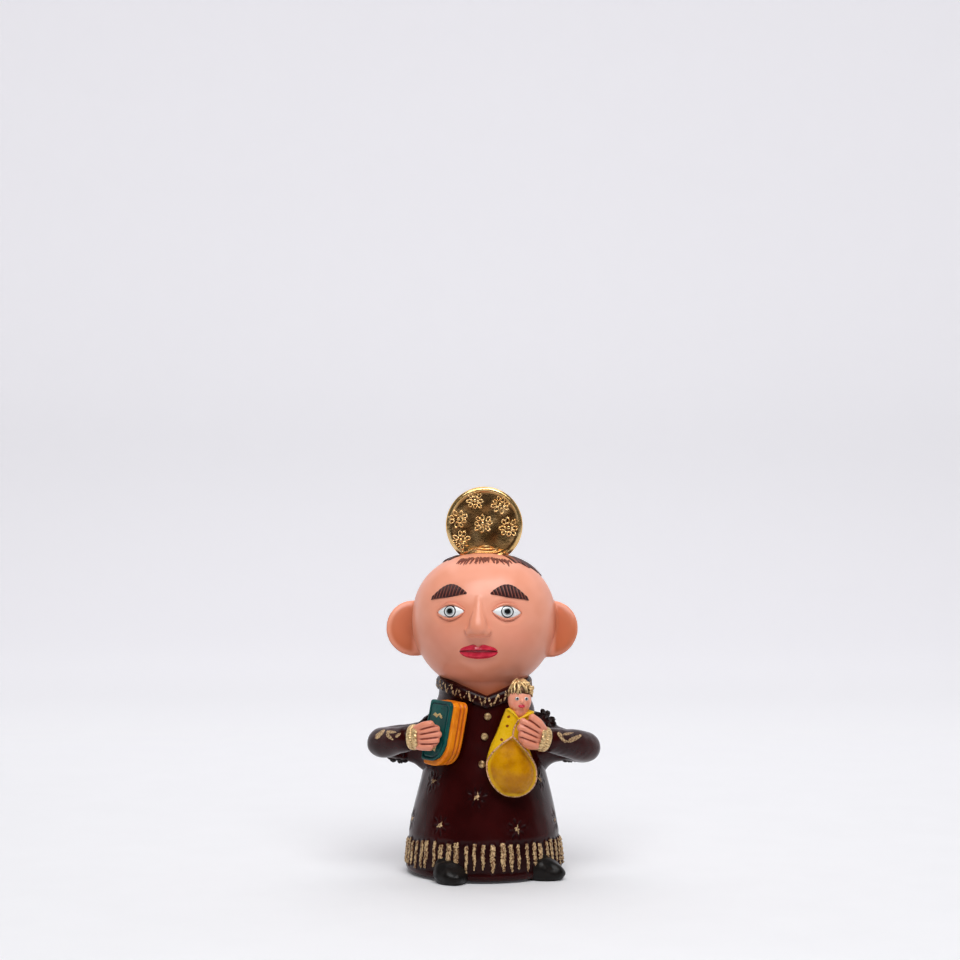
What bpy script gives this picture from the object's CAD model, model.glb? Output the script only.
import math
import random

import bpy
import numpy as np
from mathutils import Matrix, Vector


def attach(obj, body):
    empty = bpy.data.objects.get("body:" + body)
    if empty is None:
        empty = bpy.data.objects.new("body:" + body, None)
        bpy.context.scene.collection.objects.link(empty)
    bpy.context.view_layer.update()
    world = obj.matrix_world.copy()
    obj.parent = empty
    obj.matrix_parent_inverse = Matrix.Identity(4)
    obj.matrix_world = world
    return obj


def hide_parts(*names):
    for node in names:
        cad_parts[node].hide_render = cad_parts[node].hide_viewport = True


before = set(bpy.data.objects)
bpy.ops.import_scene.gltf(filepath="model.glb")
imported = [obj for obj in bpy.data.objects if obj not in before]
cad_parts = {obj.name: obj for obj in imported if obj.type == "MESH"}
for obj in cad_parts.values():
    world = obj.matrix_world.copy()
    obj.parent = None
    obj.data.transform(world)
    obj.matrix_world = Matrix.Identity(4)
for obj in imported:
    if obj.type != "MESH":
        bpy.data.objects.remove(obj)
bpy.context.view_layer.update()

# A painted ceramic statuette: a haloed saint in a bell-shaped robe, with a book and a swaddled child.
# Pieces are shaped in millimetres and brought to metres when they are finished.
# +Z is up and the figure looks towards -Y. Azimuth 0 is the front, and it grows towards +X.
MM = 0.001
SEAM_GAP = 0.002
HOOP_SIDES = 256

# Robe
ROBE_HEIGHT = 78
BELL_HEIGHT = 84
HEM_RADIUS = 33.3
SHOULDER_RADIUS = 18.9
RIB_COUNT = 54
RIB_FOOT = 4.5
RIB_TOP = 14.5
RIB_FRONT_RISE = 1.8
ROSETTE_REACH = 5
ROSETTES = (
    (-53, 40.1), (-6, 35.2), (61, 40.6), (113, 38), (165, 36), (-107, 38.5),
    (-78, 23), (-36, 23), (26, 21.8), (76, 22.5), (125, 22), (176, 22.5), (-129, 22),
)
PETALS = 8
STAR_RAYS = 5
SHOULDER_SLOPE = 1.5
BUTTONS = ((4.2, 67.5), (0.5, 59.3), (-2, 48.2))

# Collar
COLLAR_V = 72.6
COLLAR_RISE = 6.8
COLLAR_WIDTH = 5.4
COLLAR_THICKNESS = 1.4
COLLAR_TURN = 4
COLLAR_STROKES = 60
NECK_RADIUS = 16.8
NECK_LENGTH = 29

# Head
HEAD_HALF = np.array((30.6, 28.6, 29.2))
HEAD_CENTRE = np.array((0, 0, 105.2))
HEAD_TURN = -5
HEAD_TILT = 11
CROWN_FULLNESS = 2.27
JAW_FULLNESS = 1.92
EAR_RADIUS = 12.1
EAR_THICKNESS = 5.4
EAR_OUT = {-1: 30.1, 1: 28.4}
# The hairline's elevation over the forehead, at either side and at the nape
HAIRLINE_FRONT = 54
HAIRLINE_SIDES = {-1: 55, 1: 41}
HAIRLINE_NAPE = -22
CROWN_EDGE = 66
HAIR_LINES = 62
FRINGE_STROKES = 34

# Face, in the head's own frame
FACE_THIRD = 16.67
BROW_LINE = 7.33
NOSE_LINE = -9.33
EYE_LINE = 1.22
MOUTH_LINE = -14.89
EYE_WIDTH = 11.77
EYE_HEIGHT = 5.88
MOUTH_WIDTH = 16.5
NOSE_REACH = 5.2
BROW_HATCHES = 11
# Each lid's edge over the middle line, as a share of the eye's height, and its thickness
LIDS = ((0.5285, 0.62), (-0.5311, 0.4))
# The closed lips' section: height over the mouth line and lift off the face
LIP_SECTION = np.array((
    (2.5, -0.9), (2.3, 0.45), (1.2, 1.35), (0.15, 0.35),
    (-0.15, 0.35), (-1.5, 1.6), (-2.7, 0.7), (-2.9, -0.9),
))

# Halo
HALO_CENTRE = np.array((0.1, 1.95, 146.6))
HALO_RADIUS = 16.4
HALO_THICKNESS = 4.4
HALO_EDGE = 1.5
HALO_ROSETTES = ((-0.7, 0.7), (-4, 10.4), (6.7, 8.7), (10.3, -1.1), (-9.9, -6.4), (-11, 2.6))

# Arms: side, elbow out and height, wrist out, front and height, hand forward and rise
ARMS = (
    (-1, 42.6, 54.6, 28.4, 24.4, 59.4, 0.4, 0.04),
    (1, 42.5, 52.6, 23.6, 29.2, 59.4, 0.5, 0.3),
)
SLEEVE_ROOT = 11
SLEEVE_ROOT_HEIGHT = 54.3
ELBOW_RADIUS = 6.5
WRIST_RADIUS = 5
SLEEVE_FILLET = 6.0
SHOULDER_PAD = np.array((24.0, -0.5, 60.5))
SHOULDER_SWELL = np.array((0.42, -0.3, 0.86)) * 3.8
SLEEVE_DRAPE = np.array((-30, 1, 47.5))
DRAPE_FALL = 2.4
# Brushed leaves on the forearms: across, height, turn, length and width
SPRAYS = {
    -1: (
        (-43.6, 59.4, 40, 6.0, 1.9), (-38.6, 60.9, 8, 5.0, 1.1),
        (-39.2, 58.9, -32, 4.0, 1.5), (-35.6, 60.2, 36, 3.2, 1.2),
    ),
    1: (
        (32.0, 59.6, -58, 5.8, 1.5), (37.9, 58.6, 15, 7.2, 1.9),
        (35.0, 60.7, 0, 5.2, 0.9), (33.6, 58.0, -16, 3.4, 1.1),
    ),
}
# Rosettes laid on the shoulders and under the sleeves: middle, the way each faces, and reach
SLEEVE_ROSETTES = (
    ((26.2, -2.0, 64.4), (0.5, -0.62, 0.62), 4.3),
    ((-24.6, 3.0, 63.6), (-0.6, 0.2, 0.75), 3.7),
    ((37.5, 3.0, 47.2), (0.1, -0.45, -0.9), 3.7),
    ((-36.5, 2.0, 47.6), (-0.1, -0.6, -0.8), 3.9),
)
# The two bands of a cuff: place along the arm, radius, width and number of frills
CUFF_BANDS = ((1.0, 4.75, 2.5, 31), (-1.3, 4.65, 2.6, 17))
HAND_LENGTH = 12.4
# How far each finger reaches along the hand and up from its middle line
FINGER_TIPS = {
    -1: ((9.6, 6.0), (11.6, 3.9), (12.1, 1.4), (11.2, -1.2), (9.0, -3.8)),
    1: ((9.4, 8.2), (12.2, 5.3), (12.4, 2.6), (11.2, -0.2), (9.4, -2.8)),
}

# Book
BOOK_WIDTH = 15.6
BOOK_SHIFT = -2.0
BOOK_HEIGHT = 26.4
BOOK_THICKNESS = 7.4
BOOK_CORNER = 3.2
BOOK_LOW_CORNER = 8.4
BOOK_COVER = 1.8
COVER_WIDTH = BOOK_WIDTH - 1
COVER_HEIGHT = BOOK_HEIGHT - 1.6
COVER_SHIFT = (-0.6, 1.2)
COVER_BORDER = 1.5
LEAF_GROOVES = (-0.2, 1.9)
# Gold marks on the cover: across, up, half width and half height
COVER_MARKS = (
    (-0.6, 6.6, 3.6, 0.5), (-1.8, 6.0, 1.3, 0.4), (1.9, 5.9, 1.2, 0.35),
    (1.6, -5.2, 0.6, 2.4), (1.0, -7.8, 1.0, 0.5), (2.2, -3.4, 0.8, 0.4),
)
BOOK_TURN = -52
BOOK_LEAN = 10
BOOK_SKEW = 0.14
BOOK_PLACE = (-34, 60.4, 4.6)

# Child
SWADDLE_LENGTH = 35.5
SWADDLE_RADIUS = 10.6
SWADDLE_NECK = 5.9
SWADDLE_BEND = 2.8
SWADDLE_DEPTH = 0.62
SWADDLE_LEAN = 6.5
SWADDLE_PLACE = (21, 35.6, 3.6)
SWADDLE_LIP = 1.2
APEX = SWADDLE_LENGTH * 0.69
NOTCH = (0.4, 31.4)
# Dots on the cloth: across and height. Then its raised rims: end across, end height and thickness
SWADDLE_DOTS = ((-4.0, 32.4), (-3.2, 28.6), (-4.3, 22.8))
SWADDLE_RIMS = ((-5.4, 35.6, 0.5), (5.3, 35.2, 0.75))
PIPING_RADIUS = 0.36
CHILD_HEAD = 4.9
CHILD_HEAD_HEIGHT = 5.9
CHILD_LEVEL = SWADDLE_LENGTH + 0.72 * CHILD_HEAD_HEIGHT
CHILD_LIPS = ((0.24, 0.42), (-0.3, 0.5))
CHILD_LOCKS = 30
# Curls over the child's brow: across, up, front and size
CHILD_CURLS = (
    (4.2, 3.2, -2.9, 1.5), (4.9, 4.9, -1.4, 1.4), (2.6, 6.6, -3.4, 1.3),
    (3.8, 5.0, -3.4, 1.3), (-1.0, 7.0, -3.0, 1.2),
)

# Shoes: name, azimuth, toe direction and reach
SHOES = (("shoe_right", -26.5, 12, 7.6), ("shoe_left", 51, 62, 8))
SHOE_HALF = (7.5, 10.5, 6.6)

# Lights: name, place, aim, size and power
LIGHTS = (
    ("key", (0.05, -0.62, 0.98), (0, 0, 0.08), (0.95, 0.6), 11.5),
    ("left_wall", (-0.95, 0.4, 0.4), (0, 0, 0.12), (0.9, 0.9), 1.5),
    ("right_wall", (0.95, 0.4, 0.4), (0, 0, 0.12), (0.9, 0.9), 1.5),
    ("top", (0, 0.4, 1.0), (0, 0.1, 0), (1.0, 0.6), 3.4),
)


def smooth(value, low, high):
    share = np.clip((np.asarray(value, float) - low) / (high - low), 0, 1)
    return share * share * (3 - 2 * share)


def lerp(a, b, share):
    return a + (b - a) * share


def stack(*columns):
    return np.stack(np.broadcast_arrays(*columns), axis=-1).astype(float)


def unit(vectors):
    return vectors / np.linalg.norm(vectors, axis=-1, keepdims=True)


def fuller(wave, power):
    """A wave with fuller shoulders, which gives a round section flatter sides."""
    return np.sign(wave) * np.abs(wave) ** power


def ripple(points, size, seed=0):
    """A smooth unevenness between about -1 and 1, with bumps of a size in millimetres."""
    draw = np.random.default_rng(seed + 11)
    total = np.zeros(len(points))
    for _ in range(9):
        way = unit(draw.normal(size=3)) * draw.uniform(0.7, 1.5) * math.tau / size
        total += np.sin(points @ way + draw.uniform(0, math.tau))
    return total / 4


def robe_radius(height):
    share = np.clip(np.asarray(height, float) / BELL_HEIGHT, 0, 1)
    return lerp(SHOULDER_RADIUS, HEM_RADIUS, (1 + np.cos(math.pi * share)) / 2)


def azimuth_of(points):
    return np.degrees(np.arctan2(points[:, 0], -points[:, 1]))


def round_axis(azimuth, radius, height):
    turn = np.radians(azimuth)
    return stack(np.sin(turn) * radius, -np.cos(turn) * radius, height)


def on_robe(azimuth, height, lift=0):
    return round_axis(azimuth, robe_radius(height) + lift, height)


def collar_foot(azimuth):
    turned = np.radians(azimuth - COLLAR_TURN)
    rise = np.where(np.cos(turned) > 0, np.abs(np.sin(turned)), 1)
    return COLLAR_V - COLLAR_WIDTH / 2 + 0.6 + COLLAR_RISE * rise


def on_head(azimuth, elevation, lift=0):
    """Where a direction from the head's centre meets its surface, in the head's own frame."""
    azimuth = np.radians(azimuth)
    elevation = np.radians(elevation)
    level = np.cos(elevation)
    way = stack(np.sin(azimuth) * level, -np.cos(azimuth) * level, np.sin(elevation))
    power = lerp(JAW_FULLNESS, CROWN_FULLNESS, smooth(way[..., 2], -0.35, 0.45))[..., None]
    reach = np.sum(np.abs(way / HEAD_HALF) ** power, axis=-1, keepdims=True) ** (-1 / power)
    return way * (reach + np.asarray(lift, float)[..., None])


def on_face(x, z, lift=0):
    """The point of the face at a width and a height in the head's own frame."""
    x, z, lift = np.broadcast_arrays(np.asarray(x, float), z, lift)
    azimuth = np.degrees(np.arctan2(x, HEAD_HALF[1]))
    elevation = np.degrees(np.arctan2(z, HEAD_HALF[1]))
    for _ in range(14):
        point = on_head(azimuth, elevation)
        azimuth = azimuth + np.degrees((x - point[..., 0]) / HEAD_HALF[1]) * 0.8
        elevation = elevation + np.degrees((z - point[..., 2]) / HEAD_HALF[1]) * 0.8
    return on_head(azimuth, elevation, lift)


def turn_matrix(axis, degrees):
    return np.array(Matrix.Rotation(math.radians(degrees), 3, axis))


HEAD_FRAME = turn_matrix("Z", HEAD_TURN) @ turn_matrix("X", -HEAD_TILT)


def from_head(points):
    """Points of the head's own frame, in the figure's frame."""
    return points @ HEAD_FRAME.T + HEAD_CENTRE


def to_head(points):
    return (points - HEAD_CENTRE) @ HEAD_FRAME


# Mesh steps


def rest():
    bpy.ops.object.select_all(action="DESELECT")


def pick(*pieces):
    rest()
    for piece in pieces:
        piece.select_set(True)
    bpy.context.view_layer.objects.active = pieces[0]


def points_of(piece, part="co"):
    flat = np.empty(len(piece.data.vertices) * 3, np.float64 if part == "co" else np.float32)
    piece.data.vertices.foreach_get(part, flat)
    return flat.reshape(-1, 3)


def set_points(piece, points):
    piece.data.vertices.foreach_set("co", np.ascontiguousarray(points, float).ravel())
    piece.data.update()
    return piece


def outward(piece):
    return points_of(piece, "normal")


def note(piece, **fields):
    """Writes a value or a place at each point under each name, for the piece's paint to read."""
    count = len(piece.data.vertices)
    for name, values in fields.items():
        values = np.asarray(values, np.float32)
        kind, part = ("FLOAT_VECTOR", "vector") if values.ndim == 2 else ("FLOAT", "value")
        layer = piece.data.attributes.new(name, kind, "POINT")
        if values.ndim < 2:
            values = np.broadcast_to(values, count)
        layer.data.foreach_set(part, np.ascontiguousarray(values).ravel())
    return piece


def settled():
    """The newest piece, with its place, turn and size brought into its mesh."""
    bpy.ops.object.transform_apply(location=True, rotation=True, scale=True)
    return bpy.context.active_object


def set_mode(mode):
    bpy.ops.object.mode_set(mode=mode)


def select_edges(piece, wanted):
    """Enters edit mode with the edges selected whose two ends pass a test."""
    set_mode("EDIT")
    bpy.ops.mesh.select_mode(type="EDGE")
    bpy.ops.mesh.select_all(action="DESELECT")
    set_mode("OBJECT")
    for edge in piece.data.edges:
        edge.select = bool(wanted(*(piece.data.vertices[v].co for v in edge.vertices)))
    set_mode("EDIT")


def tidy(piece):
    """Closes seams and turns all faces outward."""
    pick(piece)
    set_mode("EDIT")
    bpy.ops.mesh.select_all(action="SELECT")
    bpy.ops.mesh.remove_doubles(threshold=SEAM_GAP)
    bpy.ops.mesh.normals_make_consistent(inside=False)
    set_mode("OBJECT")
    return piece


def finish_with(piece, kind, **settings):
    """Adds a modifier with its settings and applies it."""
    pick(piece)
    modifier = piece.modifiers.new(kind.title(), kind)
    for name, value in settings.items():
        setattr(modifier, name, value)
    bpy.ops.object.modifier_apply(modifier=modifier.name)
    return piece


def rounded(piece, levels):
    return finish_with(piece, "SUBSURF", levels=levels, render_levels=levels)


def smoothed(piece, rounds):
    return finish_with(piece, "SMOOTH", factor=0.5, iterations=rounds)


def one_skin(piece, voxel, rounds):
    """Turns touching forms into one closed skin and softens it."""
    return smoothed(finish_with(piece, "REMESH", mode="VOXEL", voxel_size=voxel), rounds)


def fuse(pieces, voxel, rounds):
    """Presses several lumps of clay together."""
    return one_skin(joined(pieces), voxel, rounds)


def pod(around, along, shape):
    """A closed form between two poles. shape gives a point for the share round it and along it."""
    bpy.ops.mesh.primitive_uv_sphere_add(segments=around, ring_count=along, radius=1)
    piece = bpy.context.active_object
    start = points_of(piece)
    turn = np.arctan2(start[:, 1], start[:, 0]) / math.tau % 1
    share = np.arccos(np.clip(-start[:, 2], -1, 1)) / math.pi
    return tidy(set_points(piece, shape(turn, share)))


def hoop(section, shape):
    """A closed ring. shape gives a point for the share round it and round its section."""
    bpy.ops.mesh.primitive_torus_add(
        major_segments=HOOP_SIDES, minor_segments=section, major_radius=2, minor_radius=1
    )
    piece = bpy.context.active_object
    start = points_of(piece)
    turn = np.arctan2(start[:, 0], -start[:, 1]) / math.tau % 1
    share = np.arctan2(start[:, 2], np.hypot(start[:, 0], start[:, 1]) - 2) / math.tau % 1
    return tidy(set_points(piece, shape(turn, share)))


def ball(half, centre=(0, 0, 0), around=32, rows=20):
    bpy.ops.mesh.primitive_uv_sphere_add(
        segments=around, ring_count=rows, radius=1, location=centre, scale=half
    )
    return settled()


def length_along(line):
    """How far along a line each of its points lies."""
    return np.concatenate(((0,), np.cumsum(np.linalg.norm(np.diff(line, axis=0), axis=1))))


def smooth_line(points, steps):
    """Points evenly apart on a smooth line through the given ones."""
    points = np.asarray(points, float)
    padded = np.vstack((2 * points[0] - points[1], points, 2 * points[-1] - points[-2]))
    share = np.linspace(0, len(points) - 1, steps + 1)
    part = np.minimum(share.astype(int), len(points) - 2)
    t = (share - part)[:, None]
    a, b, c, d = (padded[part + k] for k in range(4))
    curve = b + 0.5 * t * (c - a + t * (2 * a - 5 * b + 4 * c - d + t * (3 * (b - c) + d - a)))
    length = length_along(curve)
    even = np.linspace(0, length[-1], steps + 1)
    return stack(*(np.interp(even, length, curve[:, k]) for k in range(3)))


def rope(line, radii, sides=12, flat=1.0, up=(0, 0, 1)):
    """A rod with rounded ends along a line. radii holds its half-thickness at each of the line's points."""
    ways = unit(np.gradient(line, axis=0))
    side = unit(np.cross(ways, up) + 1e-9)
    over = np.cross(side, ways)
    count = len(line) - 1
    length = length_along(line)
    from_end = np.minimum(length, length[-1] - length)
    caps = np.sqrt(np.clip(1 - (1 - np.clip(from_end / np.maximum(radii, 1e-6), 0, 1)) ** 2, 0, 1))

    def shape(turn, share):
        step = np.rint(share * count).astype(int)
        reach = (radii * caps)[step][:, None]
        angle = (turn * math.tau)[:, None]
        return line[step] + reach * (np.cos(angle) * side[step] + flat * np.sin(angle) * over[step])

    return pod(sides, count, shape)


def seat_on_robe(points, azimuth, height, lift=0):
    """Points of a form that faces -Y at the origin, laid on the robe."""
    slope = math.atan2(float(robe_radius(height - 2) - robe_radius(height + 2)), 4)
    turned = turn_matrix("Z", azimuth) @ turn_matrix("X", -math.degrees(slope))
    return points @ turned.T + on_robe(azimuth, height, lift)


def copy_of(piece):
    twin = piece.copy()
    twin.data = piece.data.copy()
    bpy.context.collection.objects.link(twin)
    return twin


def joined(pieces):
    pick(*pieces)
    bpy.ops.object.join()
    return bpy.context.view_layer.objects.active


def done(piece, name, finish, crease=None):
    """Brings a piece to metres, gives it its paint and ties it to the figure."""
    pick(piece)
    piece.scale = (MM, MM, MM)
    settled()
    if crease is None:
        bpy.ops.object.shade_smooth()
    else:
        bpy.ops.object.shade_smooth_by_angle(angle=math.radians(crease))
    piece.name = name
    piece.data.name = name
    piece.data.materials.clear()
    piece.data.materials.append(finish.material)
    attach(piece, "root")
    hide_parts("statuette")
    return piece


# Paint


def tint(red, green, blue):
    """A colour as seen on a screen, 0 to 255, as the shader takes it."""
    channels = (c / 255 for c in (red, green, blue))
    return (*(c / 12.92 if c <= 0.04045 else ((c + 0.055) / 1.055) ** 2.4 for c in channels), 1)


class Field:
    """A number that changes over a surface. Arithmetic on it adds Math nodes."""

    def __init__(self, finish, socket):
        self.finish = finish
        self.socket = socket

    def math(self, operation, *values):
        node = self.finish.node("ShaderNodeMath", {"operation": operation}, dict(enumerate(values)))
        return Field(self.finish, node.outputs[0])

    def __add__(self, other):
        return self.math("ADD", self, other)

    def __sub__(self, other):
        return self.math("SUBTRACT", self, other)

    def __mul__(self, other):
        return self.math("MULTIPLY", self, other)

    def __pow__(self, other):
        return self.math("POWER", self, other)

    def __rsub__(self, other):
        return self.math("SUBTRACT", other, self)

    __radd__ = __add__
    __rmul__ = __mul__


class Finish:
    """One paint: a glossy shader, and the nodes that vary it over the surface."""

    def __init__(self, name, metallic=0.0, coat=0.0, shine=0.5):
        self.material = bpy.data.materials.new(name)
        self.material.use_nodes = True
        self.tree = self.material.node_tree
        self.tree.nodes.clear()
        constants = {
            "Metallic": metallic,
            "Coat Weight": coat,
            "Specular IOR Level": shine,
            "Coat Roughness": 0.08,
        }
        self.shader = self.node("ShaderNodeBsdfPrincipled", inputs=constants)
        self.node("ShaderNodeOutputMaterial", {}, {"Surface": self.shader.outputs[0]})
        self.place = self.node("ShaderNodeTexCoord").outputs["Object"]

    def node(self, kind, settings=None, inputs=None):
        """Adds a node: its settings first, then the values or links of its sockets."""
        node = self.tree.nodes.new(kind)
        for name, value in (settings or {}).items():
            setattr(node, name, value)
        for key, value in (inputs or {}).items():
            self.feed(node.inputs[key], value)
        return node

    def feed(self, socket, value):
        if isinstance(value, Field):
            self.tree.links.new(value.socket, socket)
        elif isinstance(value, bpy.types.NodeSocket):
            self.tree.links.new(value, socket)
        else:
            socket.default_value = value

    def noted(self, name):
        settings = {"attribute_type": "GEOMETRY", "attribute_name": name}
        return self.node("ShaderNodeAttribute", settings).outputs

    def number(self, name):
        """A value that was noted on the piece's points."""
        return Field(self, self.noted(name)["Fac"])

    def split(self, vector):
        parts = self.node("ShaderNodeSeparateXYZ", {}, {0: vector})
        return [Field(self, socket) for socket in parts.outputs]

    def noise(self, size, detail=3.0, rough=0.55, stretch=None):
        """Cloudy noise from 0 to 1 with blots of a size in millimetres."""
        place = self.place
        if stretch:
            place = self.node("ShaderNodeMapping", {}, {"Vector": place, "Scale": stretch}).outputs[0]
        inputs = {"Vector": place, "Scale": 1 / (size * MM), "Detail": detail, "Roughness": rough}
        return Field(self, self.node("ShaderNodeTexNoise", {}, inputs).outputs["Fac"])

    def step(self, value, low, high):
        """Runs from 0 to 1 as the value goes from low to high."""
        settings = {"interpolation_type": "SMOOTHSTEP"}
        inputs = {"Value": value, "From Min": low, "From Max": high}
        return Field(self, self.node("ShaderNodeMapRange", settings, inputs).outputs["Result"])

    def mix(self, share, first, second):
        """A colour between two."""
        return self.node("ShaderNodeMix", {"data_type": "RGBA"}, {0: share, 6: first, 7: second}).outputs[2]

    def drift(self, noise, first, second, low=0.3, high=0.7):
        """Blots of two screen colours."""
        return self.mix(self.step(noise, low, high), tint(*first), tint(*second))

    def over(self, colour, name, second):
        """A colour with a second one painted over it where a noted value says so."""
        return self.mix(self.number(name), colour, tint(*second))

    def gold_stroke(self, wear):
        """Where brushed gold lies: its noted field, broken by worn specks."""
        speck = self.noise(0.8, 4.0, 0.7)
        blot = self.noise(2.6, 2.0)
        field = self.number("gold") + (speck - 0.5) * wear + (blot - 0.5) * wear * 0.5
        return self.step(field, 0.44, 0.56)

    def lay(self, colour, roughness, relief, depth):
        """Lays on the colour, the roughness and a fine relief with a full height in millimetres."""
        self.feed(self.shader.inputs["Base Color"], colour)
        self.feed(self.shader.inputs["Roughness"], roughness)
        bump = self.node("ShaderNodeBump", {}, {"Height": relief, "Distance": depth * MM})
        self.feed(self.shader.inputs["Normal"], bump.outputs[0])
        return self


def make_robe_paint():
    """Oxblood glaze with brushed gold, dark in pressed lines, and bare clay on the underside."""
    paint = Finish("robe_paint", shine=0.15)
    cloud = paint.noise(14, 2.0)
    fine = paint.noise(1.6)
    brush = paint.noise(0.7, 4.0, 0.8, stretch=(1, 1, 0.55))
    gold = paint.gold_stroke(1.0)
    bare = paint.step(paint.split(paint.place)[2], 0.00035, 0.00012)
    maroon = paint.over(paint.drift(cloud, (38, 2, 2), (50, 6, 6)), "hollow", (16, 3, 4))
    leaf = paint.drift(brush, (106, 68, 44), (226, 194, 146), 0.42, 0.58)
    clay = paint.drift(fine, (150, 84, 58), (176, 106, 74))
    colour = paint.mix(bare, paint.mix(gold, maroon, leaf), clay)
    roughness = 0.22 + gold * 0.2 + fine * 0.06 + bare * 0.5
    paint.feed(paint.shader.inputs["Metallic"], gold * 0.35)
    return paint.lay(colour, roughness, cloud * 0.3 + fine * 0.12 + brush * gold * 1.2, 0.16)


def make_skin_paint():
    paint = Finish("skin_paint", shine=0.42)
    cloud = paint.noise(16, 2.0)
    fine = paint.noise(2.2)
    base = paint.drift(cloud, (234, 152, 122), (243, 165, 138))
    base = paint.over(base, "warm", (192, 102, 64))
    base = paint.over(base, "blush", (228, 116, 92))
    base = paint.over(base, "line", (132, 44, 28))
    return paint.lay(base, 0.26 + fine * 0.14, cloud * 0.5 + fine * 0.25, 0.1)


def make_gold_leaf():
    paint = Finish("gold_leaf", metallic=1.0)
    cloud = paint.noise(5)
    fine = paint.noise(0.9, 4.0, 0.65)
    gold = paint.over(paint.drift(cloud, (222, 178, 112), (244, 208, 150)), "hollow", (128, 82, 44))
    return paint.lay(gold, 0.13 + fine * 0.2, cloud * 0.6 + fine * 0.5, 0.16)


def make_brush_gold():
    paint = Finish("brush_gold", metallic=0.6)
    brush = paint.noise(0.8, 4.0, 0.7)
    gold = paint.drift(brush, (180, 136, 82), (240, 208, 154), 0.3, 0.62)
    return paint.lay(paint.over(gold, "hollow", (78, 44, 24)), 0.26 + brush * 0.2, brush, 0.1)


def make_hair_paint():
    paint = Finish("hair_paint", shine=0.35)
    comb = paint.noise(0.8, 3.0, 0.6)
    dark = paint.drift(comb, (34, 10, 12), (66, 24, 24), 0.35, 0.65)
    return paint.lay(paint.over(dark, "line", (168, 92, 74)), 0.34 + comb * 0.2, comb, 0.14)


def make_lip_paint():
    paint = Finish("lip_paint", coat=0.5)
    cloud = paint.noise(2.4)
    red = paint.over(paint.drift(cloud, (196, 30, 56), (222, 52, 76)), "line", (120, 10, 26))
    return paint.lay(red, 0.16 + cloud * 0.14, cloud, 0.06)


def make_eye_paint():
    """White glaze with a grey iris inside a thin dark ring, and a dark pupil."""
    paint = Finish("eye_paint", coat=0.5)
    across, _, up = paint.split(paint.noted("local")["Vector"])
    radius = (across * across + up * up) ** 0.5
    cloud = paint.noise(2.0, 2.0)
    ring = paint.step(radius, 1.95, 2.1) * paint.step(radius, 2.62, 2.47)
    seen = paint.mix(cloud, tint(226, 230, 232), tint(244, 246, 246))
    seen = paint.mix(paint.step(radius, 1.75, 1.5) * 0.75, seen, tint(120, 132, 134))
    seen = paint.mix(ring, seen, tint(28, 30, 34))
    seen = paint.mix(paint.step(radius, 1.25, 1.1), seen, tint(12, 12, 14))
    return paint.lay(seen, 0.1 + cloud * 0.08, cloud, 0.03)


def make_cover_paint():
    paint = Finish("cover_paint", shine=0.22)
    cloud = paint.noise(6)
    fine = paint.noise(1.2)
    gold = paint.gold_stroke(0.5)
    teal = paint.over(paint.drift(cloud, (0, 62, 60), (0, 84, 78)), "line", (0, 44, 48))
    colour = paint.mix(gold, teal, tint(206, 178, 120))
    return paint.lay(colour, 0.22 + fine * 0.16 + gold * 0.14, cloud * 0.4 + fine * 0.4, 0.1)


def make_page_paint():
    paint = Finish("page_paint", shine=0.22)
    cloud = paint.noise(5)
    streak = paint.noise(1.0, 3.0, 0.6, stretch=(1, 1, 0.12))
    orange = paint.over(paint.drift(cloud, (224, 112, 4), (240, 140, 16)), "line", (176, 74, 10))
    return paint.lay(orange, 0.26 + streak * 0.18, cloud * 0.3 + streak * 0.6, 0.12)


def make_swaddle_paint():
    paint = Finish("swaddle_paint", shine=0.2)
    cloud = paint.noise(6)
    fine = paint.noise(1.4)
    yellow = paint.drift(cloud, (172, 108, 0), (202, 140, 0), 0.32, 0.68)
    yellow = paint.over(yellow, "light", (230, 186, 24))
    dot = paint.step(paint.number("dot") + (fine - 0.5) * 0.3, 0.45, 0.55)
    colour = paint.mix(dot, yellow, tint(128, 54, 16))
    return paint.lay(colour, 0.2 + fine * 0.16, cloud * 0.6 + fine * 0.3, 0.14)


def make_piping_paint():
    paint = Finish("piping_paint")
    brush = paint.noise(0.7)
    colour = paint.drift(brush, (128, 78, 40), (232, 178, 138), 0.3, 0.65)
    return paint.lay(colour, 0.28 + brush * 0.16, brush, 0.08)


def make_shoe_paint():
    paint = Finish("shoe_paint", shine=0.18)
    cloud = paint.noise(4)
    fine = paint.noise(0.9)
    black = paint.drift(cloud, (10, 8, 8), (26, 21, 19))
    return paint.lay(black, 0.24 + fine * 0.24, cloud * 0.8 + fine * 0.35, 0.24)


def make_paper():
    """Backdrop paper. It glows a little towards the back, as if lit by itself."""
    paint = Finish("backdrop_paper")
    grain = paint.noise(30, 2.0)
    inputs = paint.shader.inputs
    paint.feed(inputs["Base Color"], paint.mix(grain, tint(226, 226, 229), tint(230, 230, 233)))
    paint.feed(inputs["Roughness"], 0.8 + grain * 0.1)
    _, depth, height = paint.split(paint.place)
    # Each rise of the glow: from, to and strength
    rises = ((-0.3, 0.9, 0.45), (1.0, 2.0, 0.55), (0.9, 1.5, 0.06), (0.68, 1.06, 0.17), (1.06, 1.6, -0.17))
    glow = paint.step(height, 0.0, 0.24) * -0.21
    for near, far, strength in rises:
        glow = glow + paint.step(depth, near, far) * strength
    inputs["Emission Strength"].default_value = 1.0
    paint.feed(inputs["Emission Color"], paint.mix(glow, tint(0, 0, 0), tint(206, 204, 209)))
    return paint


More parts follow.
